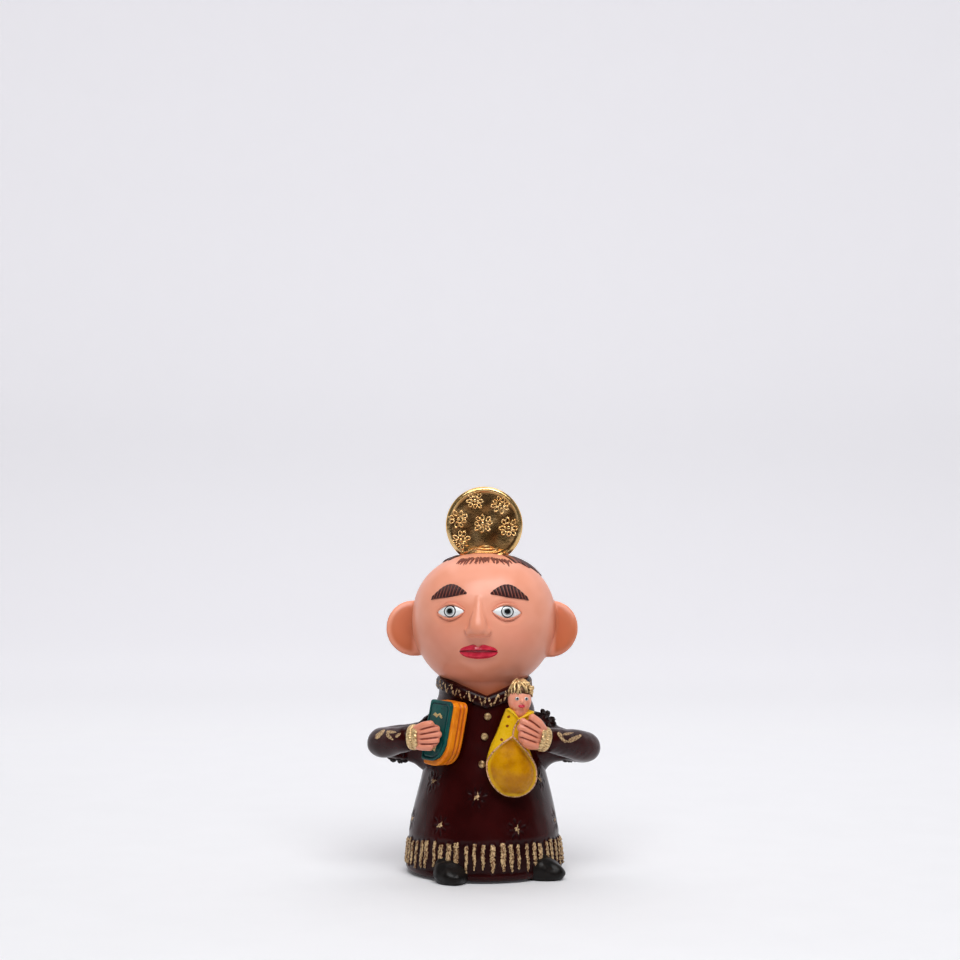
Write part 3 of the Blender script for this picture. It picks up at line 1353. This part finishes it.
def slab(width, height, depth, corners, middle, bevel):
    """A block in the X-Z plane with three corner radii: upper right, lower right and both at the left."""
    bpy.ops.mesh.primitive_cube_add(size=1, location=middle, scale=(width, depth, height))
    block = settled()
    for (right, top), corner in zip(((1, 1), (1, -1), (-1, 0)), corners):

        def at_corner(a, b):
            across = abs(a.y - b.y) > depth / 2
            at_end = (a.x - middle[0]) * right > width * 0.49
            return across and at_end and (top == 0 or (a.z - middle[2]) * top > height * 0.49)

        select_edges(block, at_corner)
        bpy.ops.mesh.bevel(offset=corner, segments=10, affect="EDGES")
        set_mode("OBJECT")
    return finish_with(
        block, "BEVEL", width=bevel, segments=4, limit_method="ANGLE", angle_limit=math.radians(50)
    )


def held(points):
    """Carries the book's points into the hand. The book is skewed, so its top runs level."""
    turn = turn_matrix("Y", BOOK_LEAN) @ turn_matrix("Z", BOOK_TURN)
    points = (points + (BOOK_SHIFT, 0, 0)) @ turn.T
    points[:, 2] += BOOK_SKEW * points[:, 0]
    return points + on_robe(*BOOK_PLACE)


def make_pages():
    rest()
    corners = (BOOK_CORNER, BOOK_LOW_CORNER, 1.4)
    pages = one_skin(slab(BOOK_WIDTH, BOOK_HEIGHT, BOOK_THICKNESS, corners, (0, 0, 0), 0.7), 0.3, 4)
    points = points_of(pages)
    # Two grooves run round the fore edge and part the block of leaves.
    line = np.zeros(len(points))
    for level in LEAF_GROOVES:
        sway = 0.06 * np.sin(points[:, 2] * 0.35 + level)
        line = np.maximum(line, smooth(np.abs(points[:, 1] - level - sway), 0.62, 0.1))
    line *= smooth(np.abs(points[:, 1]), BOOK_THICKNESS / 2, BOOK_THICKNESS / 2 - 0.5)
    points += outward(pages) * (0.05 * ripple(points, 9, 15) - 0.65 * line)[:, None]
    note(set_points(pages, held(points)), line=0.9 * line)
    done(pages, "book_pages", PAGE_PAINT)


def make_cover():
    lift = BOOK_THICKNESS / 2 + BOOK_COVER * 0.3
    corners = (BOOK_CORNER - 0.6, BOOK_LOW_CORNER, 1.2)
    middle = (COVER_SHIFT[0], -lift, COVER_SHIFT[1])
    cover = one_skin(slab(COVER_WIDTH, COVER_HEIGHT, BOOK_COVER, corners, middle, 0.45), 0.22, 4)
    points = points_of(cover)
    x = points[:, 0] - middle[0]
    z = points[:, 2] - middle[2]
    front = smooth(points[:, 1], -lift - 0.2, -lift - 0.6)
    # A pressed line follows the cover's outline.
    half_x = COVER_WIDTH / 2 - COVER_BORDER
    half_z = COVER_HEIGHT / 2 - COVER_BORDER
    corner = np.where(x < 0, 1.2, np.where(z < 0, BOOK_LOW_CORNER - COVER_BORDER, 2.0))
    out_x = np.abs(x) - (half_x - corner)
    out_z = np.abs(z) - (half_z - corner)
    straight = np.maximum(np.abs(x) - half_x, np.abs(z) - half_z)
    border = np.where((out_x > 0) & (out_z > 0), np.hypot(out_x, out_z) - corner, straight)
    line = smooth(np.abs(border), 0.45, 0.08) * front
    gold = np.zeros(len(points))
    for across, up, wide, high in COVER_MARKS:
        reach = np.hypot((x - across) / wide, (z - up - 0.3 * np.sin(x * 2)) / high)
        gold = np.maximum(gold, smooth(reach, 1.35, 0.55))
    gold *= front
    points += outward(cover) * (0.06 * ripple(points, 6, 16) - 0.34 * line + 0.12 * gold)[:, None]
    note(set_points(cover, held(points)), line=line, gold=gold)
    done(cover, "book_cover", COVER_PAINT)


# Child


def swaddle_half(share):
    foot = SWADDLE_RADIUS / SWADDLE_LENGTH
    share = np.clip(share, 0, 1)
    low = SWADDLE_RADIUS * np.sqrt(np.clip(1 - (1 - np.minimum(share / foot, 1)) ** 2, 0, 1))
    rise = np.clip((share - foot) / (1 - foot), 0, 1)
    high = lerp(SWADDLE_RADIUS, SWADDLE_NECK, smooth(rise, 0, 0.7))
    return np.where(share < foot, low, high)


def swaddle_middle(share):
    """How far the bundle bends to the figure's right, away from its own axis."""
    return -SWADDLE_BEND * np.sin(math.pi * np.clip(share, 0, 1) ** 1.5) ** 1.2


def on_child(points):
    recess = float(robe_radius(SWADDLE_PLACE[1]) - robe_radius(ROBE_HEIGHT * 0.85))
    tip = -math.atan2(recess, ROBE_HEIGHT * 0.5)
    turn = turn_matrix("Z", SWADDLE_PLACE[0] * 0.5) @ turn_matrix("Y", SWADDLE_LEAN)
    turn = turn @ turn_matrix("X", math.degrees(tip) * 0.4)
    return points @ turn.T + on_robe(*SWADDLE_PLACE)


def on_neck(points):
    """Points of the child's head, which tips to the figure's right."""
    foot = np.array((0, 0, SWADDLE_LENGTH - 1))
    return on_child((points - foot) @ turn_matrix("Y", -5).T + foot)


def on_cloth(x, z, lift=0.0):
    """The front of the cloth at a width from its middle line and a height."""
    share = z / SWADDLE_LENGTH
    half = swaddle_half(share)
    x = np.clip(x, -0.99 * half, 0.99 * half)
    deep = np.sqrt(half * half - x * x) * SWADDLE_DEPTH
    return stack(x * (1 + lift / SWADDLE_RADIUS) + swaddle_middle(share), -deep - lift, z)


def drop_half(z):
    """Half the width of the inner drop at a height."""
    down = np.clip((APEX - z) / (APEX - 0.3), 0, 1)
    spread = np.sin(np.minimum(math.pi * down ** 1.2, math.pi / 2)) ** 0.75
    return np.minimum(10.5 * spread, 0.985 * swaddle_half(z / SWADDLE_LENGTH))


def make_swaddle():
    def shape(turn, share):
        top = SWADDLE_LENGTH + SWADDLE_LIP
        z = share ** 1.6 * top
        half = swaddle_half(z / SWADDLE_LENGTH) * np.sqrt(np.clip((top - z) / SWADDLE_LIP, 0, 1))
        x = np.cos(turn * math.tau) * half + swaddle_middle(z / SWADDLE_LENGTH)
        return stack(x, np.sin(turn * math.tau) * half * SWADDLE_DEPTH, z)

    cloth = pod(200, 200, shape)
    points = points_of(cloth)
    x = points[:, 0] - swaddle_middle(points[:, 2] / SWADDLE_LENGTH)
    z = points[:, 2]
    front = smooth(points[:, 1], 0.2, -0.6)
    gap = drop_half(z) - np.abs(x)
    inside = smooth(gap, 0.0, 1.1) * smooth(APEX - z, 0, 1.6) * smooth(z, 0.2, 1.4) * front
    # A notch at the top shows the child's neck, and one flap of the cloth lies over the other.
    notch = smooth((z - NOTCH[1]) - 0.9 * np.abs(x - NOTCH[0]), 0.0, 1.4) * front
    seam = np.interp(z, (APEX, NOTCH[1]), (0, NOTCH[0]))
    overlap = smooth(x - seam, -0.5, 0.3) * smooth(z, APEX - 1, APEX + 3)
    move = -0.75 * inside - 2.3 * notch + 0.14 * ripple(points, 10, 17) + 0.3 * overlap * front
    dots = np.zeros(len(points))
    for across, height in SWADDLE_DOTS:
        dots = np.maximum(dots, smooth(np.hypot(x - across, z - height), 0.9, 0.3))
    note(cloth, dot=dots * front, light=0.8 * (1 - inside))
    set_points(cloth, on_child(points + outward(cloth) * move[:, None]))
    done(cloth, "swaddle", SWADDLE_PAINT)


def make_swaddle_edges():
    """Piping round the inner drop and up the seam, and the two raised rims beside the neck."""
    turn = np.linspace(0, 1, 141)
    z = 0.1 + (APEX - 0.1) * (0.5 + 0.5 * np.cos(turn * math.tau))
    flank = on_child(on_cloth(drop_half(z) * np.sign(0.5 - turn), z, 0.05))
    share = np.linspace(0, 1, 61)
    seam_x = NOTCH[0] * share ** 1.2 - 0.4 * np.sin(share * math.pi)
    seam = on_child(on_cloth(seam_x, lerp(APEX, NOTCH[1] + 0.4, share), 0.35))
    lines = (smooth_line(flank[::2], 160), seam)
    piping = joined([rope(line, np.full(len(line), PIPING_RADIUS), sides=10) for line in lines])
    done(piping, "swaddle_piping", PIPING_PAINT)
    rims = []
    for across, height, thick in SWADDLE_RIMS:
        line = on_cloth(lerp(NOTCH[0], across, share), lerp(NOTCH[1], height, share ** 0.8), 0.25)
        rims.append(rope(on_child(line), thick * (0.7 + 0.3 * share), sides=12))
    done(note(joined(rims), light=1.0), "swaddle_rim", SWADDLE_PAINT)


def make_child_head():
    forms = [
        ball((CHILD_HEAD, CHILD_HEAD * 0.95, CHILD_HEAD_HEIGHT), (0, 0, CHILD_LEVEL), 48, 32),
        ball((3.4, 3.2, 3.4), (0, 0, CHILD_LEVEL - 5.0), 32, 20),
        ball((0.72, 0.95, 1.0), (0, -CHILD_HEAD * 0.95, CHILD_LEVEL - 0.7), 20, 14),
    ]
    head = fuse(forms, 0.24, 4)
    points = points_of(head)
    height = points[:, 2] - CHILD_LEVEL
    cheek = smooth(np.hypot(np.abs(points[:, 0]) - 2.6, height + 1.7), 1.6, 0.3) * (points[:, 1] < 0)
    note(head, blush=0.5 * cheek, warm=0.25 * smooth(height, -3.4, -5.4))
    done(set_points(head, on_neck(points)), "child_head", SKIN_PAINT)


def make_child_face():
    eyes = []
    for side in (-1, 1):
        middle = np.array((side * 1.9, -CHILD_HEAD * 0.86, CHILD_LEVEL + 0.5))
        eye = ball((0.95, 0.5, 0.72), middle, 36, 24)
        points = points_of(eye)
        eyes.append(set_points(note(eye, local=(points - middle) * 2.6), on_neck(points)))
    done(joined(eyes), "child_eyes", EYE_PAINT)
    share = np.linspace(-1, 1, 31)
    lips = []
    for lift, thick in CHILD_LIPS:
        x = share * 1.4
        z = -2.45 + lift * (1 - share ** 2)
        deep = np.sqrt(np.clip(1 - (x / CHILD_HEAD) ** 2 - (z / CHILD_HEAD_HEIGHT) ** 2, 0, 1))
        line = on_neck(stack(x, -CHILD_HEAD * 0.97 * deep, CHILD_LEVEL + z))
        lips.append(rope(line, thick * np.sqrt(np.clip(1.05 - share ** 2, 0, 1)), sides=12))
    done(joined(lips), "child_lips", LIP_PAINT)


def make_child_hair():
    """Gold locks side by side from the crown down to the brow, with curls over it."""
    draw = random.Random(9)
    middle = np.array((0.2, 0.5, CHILD_LEVEL + 2.7))
    locks = [ball((CHILD_HEAD * 0.95, CHILD_HEAD * 0.95, CHILD_HEAD_HEIGHT * 0.8), middle, 40, 28)]
    share = np.linspace(0, 1, 15)
    for number in range(CHILD_LOCKS):
        turn = math.tau * number / CHILD_LOCKS + draw.uniform(-0.08, 0.08)
        low = draw.uniform(0.2, 1.0) if math.sin(turn) < -0.2 else -0.8
        radius = np.sin(lerp(0.15, 1.5, share)) * CHILD_HEAD * draw.uniform(0.97, 1.05)
        swing = turn + share * draw.uniform(-0.1, 0.3) + 0.1 * np.sin(share * 8 + number * 1.7)
        x = middle[0] + np.cos(swing) * radius
        y = middle[1] + np.sin(swing) * radius
        z = CHILD_LEVEL + low + 2.6 + np.cos(lerp(0.1, 1.75, share)) * CHILD_HEAD_HEIGHT * 0.84
        thick = lerp(0.34, draw.uniform(0.46, 0.66), np.sin(share * math.pi))
        locks.append(rope(stack(x, y, z), thick, sides=12))
    turn = np.linspace(0, 1.6, 21)
    for across, up, deep, size in CHILD_CURLS:
        curl = size * (1 - 0.5 * turn / 1.6) * 0.5
        x = across + np.cos(turn * math.tau) * curl
        z = CHILD_LEVEL + up + np.sin(turn * math.tau) * curl
        locks.append(rope(stack(x, deep - 0.3 * turn, z), np.full(21, 0.42), sides=10, up=(0, 1, 0)))
    hair = joined(locks)
    points = points_of(hair)
    half = (CHILD_HEAD * 1.01, CHILD_HEAD * 1.01, CHILD_HEAD_HEIGHT * 0.84)
    note(hair, hollow=0.95 * smooth(np.linalg.norm((points - middle) / half, axis=1), 1.09, 0.97))
    done(set_points(hair, on_neck(points)), "child_hair", BRUSH_GOLD)


# Shoes


def make_shoes():
    for number, (name, azimuth, toe, reach) in enumerate(SHOES):
        rest()
        shoe = ball(SHOE_HALF, (0, 0, 4.0), 72, 48)
        set_mode("EDIT")
        bpy.ops.mesh.select_all(action="SELECT")
        bpy.ops.mesh.bisect(plane_co=(0, 0, 0), plane_no=(0, 0, 1), use_fill=True, clear_inner=True)
        set_mode("OBJECT")
        points = points_of(shoe)
        # The instep slopes down to the toe, and a crease crosses it.
        points[:, 2] *= lerp(0.72, 1.08, smooth(points[:, 1], -9, 1))
        points[:, 0] *= lerp(0.84, 1.0, smooth(points[:, 1], -10, -3))
        crease = np.exp(-((points[:, 1] + 2.6 + 0.35 * points[:, 0]) / 1.1) ** 2)
        crease = smooth(points[:, 2], 2.5, 5) * 0.9 * crease
        uneven = 0.3 * ripple(points, 6, 30 + number) * smooth(points[:, 2], 0.5, 3)
        points += outward(shoe) * uneven[:, None]
        points[:, 2] -= crease
        place = on_robe(azimuth, 0, reach - SHOE_HALF[1])
        set_points(shoe, points @ turn_matrix("Z", toe).T + (place[0], place[1], 0))
        done(shoe, name, SHOE_PAINT, crease=50)


# Stage


def make_stage():
    """A paper sweep: a floor that curves up into the backdrop."""
    bpy.ops.mesh.primitive_plane_add(size=1, location=(0, -0.2, 0))
    bpy.context.active_object.scale = (6, 2.4, 1)
    sweep = settled()
    far = max(v.co.y for v in sweep.data.vertices) - 1e-4
    select_edges(sweep, lambda a, b: min(a.y, b.y) > far)
    for step in ((0, 0.5, 0), (0, 0.5, 0.35), (0, 0.15, 2.6)):
        bpy.ops.mesh.extrude_region_move(TRANSFORM_OT_translate={"value": step})
    set_mode("OBJECT")
    rounded(sweep, 4)
    bpy.ops.object.shade_smooth()
    sweep.name = "backdrop"
    sweep.data.materials.append(PAPER.material)


def hang(name, data, place):
    """Puts a light or the camera into the scene."""
    thing = bpy.data.objects.new(name, data)
    bpy.context.collection.objects.link(thing)
    thing.location = place
    return thing


def make_lights():
    for name, place, aim, size, power in LIGHTS:
        light = bpy.data.lights.new(name, "AREA")
        light.shape = "RECTANGLE"
        light.size, light.size_y = size
        light.energy = power
        way = Vector(aim) - Vector(place)
        hang(name, light, place).rotation_euler = way.to_track_quat("-Z", "Y").to_euler()
    world = bpy.data.worlds.new("studio")
    bpy.context.scene.world = world
    world.use_nodes = True
    background = world.node_tree.nodes["Background"]
    background.inputs["Color"].default_value = tint(240, 242, 245)
    background.inputs["Strength"].default_value = 0.1
    bpy.context.scene.view_settings.view_transform = "Standard"


def make_camera():
    camera = bpy.data.cameras.new("camera")
    camera.lens = 80
    camera.sensor_width = 36
    eye = hang("camera", camera, (-0.0017, -0.907, 0.1658))
    eye.rotation_euler = (math.radians(90), 0, 0)
    bpy.context.scene.camera = eye


make_camera()
make_lights()
make_stage()
make_robe()
for side, arm, seed in zip(("right", "left"), ARMS, (40, 41)):
    make_sleeve(arm, "sleeve_" + side, seed)
make_sleeve_rosettes()
make_buttons()
make_collar()
make_head()
make_eyes()
make_brow(-1, "brow_right")
make_brow(1, "brow_left")
make_lips()
make_hair_ring()
make_hair_fringe()
make_halo_disc()
make_halo_rosettes()
make_halo_foot()
for make_end, kind in ((make_cuff, "cuff_"), (make_hand, "hand_")):
    for side, arm in zip(("right", "left"), ARMS):
        make_end(arm, kind + side)
make_pages()
make_cover()
make_swaddle()
make_swaddle_edges()
make_child_head()
make_child_face()
make_child_hair()
make_shoes()
